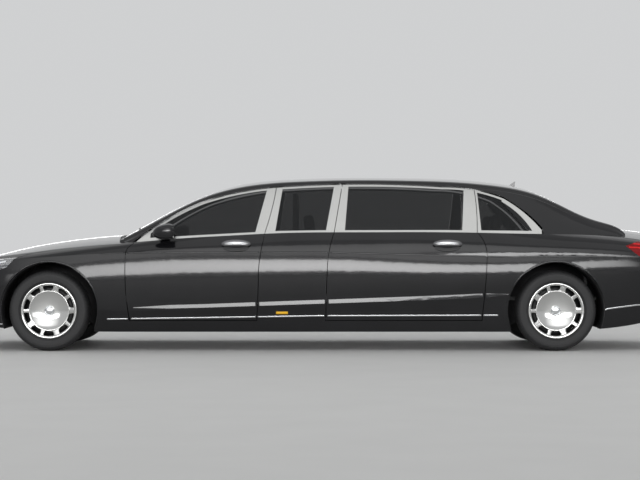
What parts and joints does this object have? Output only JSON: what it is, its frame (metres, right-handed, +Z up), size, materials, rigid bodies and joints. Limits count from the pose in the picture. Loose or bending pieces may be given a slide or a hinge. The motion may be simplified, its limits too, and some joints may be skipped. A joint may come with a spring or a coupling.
{
  "type": "stretch limousine",
  "caption": "Long black saloon car with hinged doors and a fixed centre panel each side, bright window frames, opening hood and boot lid, steered front wheels.",
  "frame": {"origin": "on the road, under the middle of the overall length and width", "axes": "+X from the nose to the tail, +Y to the car's right side, +Z up"},
  "size_m": [6.5, 2.124, 1.5369],
  "materials": {
    "paint": "gloss",
    "black_plastic": "matte",
    "chrome": "polished",
    "lamp_glass": "gloss",
    "red_lamp": "gloss",
    "tinted_glass": "gloss",
    "iron": "cast",
    "steel": "brushed",
    "leather": "satin",
    "tyre": "matte",
    "alloy": "polished"
  },
  "bodies": {
    "body": {"floor_pan": "black_plastic", "fender_left": "paint", "fender_right": "paint", "body_side_left": "paint", "body_side_right": "paint", "centre_panel_left": "paint", "centre_panel_right": "paint", "roof": "paint", "cowl": "black_plastic", "front_bumper": "paint", "rear_bumper": "paint", "grille": "chrome", "radiator": "black_plastic", "headlamps": "lamp_glass", "taillamps": "red_lamp", "windscreen": "tinted_glass", "rear_window": "tinted_glass", "window_frames_left": "chrome", "window_frames_right": "chrome", "fixed_glass_left": "tinted_glass", "fixed_glass_right": "tinted_glass", "sill_skirts": "paint", "engine": "iron", "exhaust": "steel", "front_axle": "iron", "rear_axle": "iron", "front_seats": "leather", "rear_facing_seats": "leather", "rear_seats": "leather", "dashboard": "black_plastic", "partition": "black_plastic"},
    "hood": {"hood": "paint"},
    "boot_lid": {"boot_lid": "paint"},
    "front_left_door": {"front_door_left": "paint", "front_door_frame_left": "chrome", "front_door_glass_left": "tinted_glass", "door_mirror_left": "paint"},
    "rear_left_door": {"rear_door_left": "paint", "rear_door_frame_left": "chrome", "rear_door_glass_left": "tinted_glass"},
    "left_knuckle": {"knuckle_left": "iron"},
    "front_left_wheel": {"front_tyre_left": "tyre", "front_rim_left": "alloy"},
    "rear_left_wheel": {"rear_tyre_left": "tyre", "rear_rim_left": "alloy"},
    "front_right_door": {"front_door_right": "paint", "front_door_frame_right": "chrome", "front_door_glass_right": "tinted_glass", "door_mirror_right": "paint"},
    "rear_right_door": {"rear_door_right": "paint", "rear_door_frame_right": "chrome", "rear_door_glass_right": "tinted_glass"},
    "right_knuckle": {"knuckle_right": "iron"},
    "front_right_wheel": {"front_tyre_right": "tyre", "front_rim_right": "alloy"},
    "rear_right_wheel": {"rear_tyre_right": "tyre", "rear_rim_right": "alloy"}
  },
  "joints": [
    {"name": "hood_hinge", "type": "hinge", "parent": "body", "child": "hood", "pos_m": [-1.666, 0, 1.012], "axis": [0, 1, 0], "range_deg": [0, 50]},
    {"name": "boot_hinge", "type": "hinge", "parent": "body", "child": "boot_lid", "pos_m": [2.648, 0, 1.102], "axis": [0, -1, 0], "range_deg": [0, 70]},
    {"name": "front_left_door_hinge", "type": "hinge", "parent": "body", "child": "front_left_door", "pos_m": [-1.681, -0.954, 0.6], "axis": [0, 0, -1], "range_deg": [0, 65]},
    {"name": "rear_left_door_hinge", "type": "hinge", "parent": "body", "child": "rear_left_door", "pos_m": [0.062, -0.954, 0.6], "axis": [0, 0, -1], "range_deg": [0, 65]},
    {"name": "left_steer", "type": "hinge", "parent": "body", "child": "left_knuckle", "pos_m": [-2.35, -0.716, 0.351], "axis": [0, 0, 1], "range_deg": [-35, 35]},
    {"name": "front_left_wheel_spin", "type": "hinge", "parent": "left_knuckle", "child": "front_left_wheel", "pos_m": [-2.35, -0.812, 0.351], "axis": [0, 1, 0], "continuous": true},
    {"name": "rear_left_wheel_spin", "type": "hinge", "parent": "body", "child": "rear_left_wheel", "pos_m": [2.068, -0.812, 0.351], "axis": [0, 1, 0], "continuous": true},
    {"name": "front_right_door_hinge", "type": "hinge", "parent": "body", "child": "front_right_door", "pos_m": [-1.681, 0.954, 0.6], "axis": [0, 0, 1], "range_deg": [0, 65]},
    {"name": "rear_right_door_hinge", "type": "hinge", "parent": "body", "child": "rear_right_door", "pos_m": [0.062, 0.954, 0.6], "axis": [0, 0, 1], "range_deg": [0, 65]},
    {"name": "right_steer", "type": "hinge", "parent": "body", "child": "right_knuckle", "pos_m": [-2.35, 0.716, 0.351], "axis": [0, 0, 1], "range_deg": [-35, 35]},
    {"name": "front_right_wheel_spin", "type": "hinge", "parent": "right_knuckle", "child": "front_right_wheel", "pos_m": [-2.35, 0.812, 0.351], "axis": [0, 1, 0], "continuous": true},
    {"name": "rear_right_wheel_spin", "type": "hinge", "parent": "body", "child": "rear_right_wheel", "pos_m": [2.068, 0.812, 0.351], "axis": [0, 1, 0], "continuous": true}
  ],
  "couplings": [
    {"joint": "right_steer", "follows": "left_steer", "ratio": 1}
  ]
}
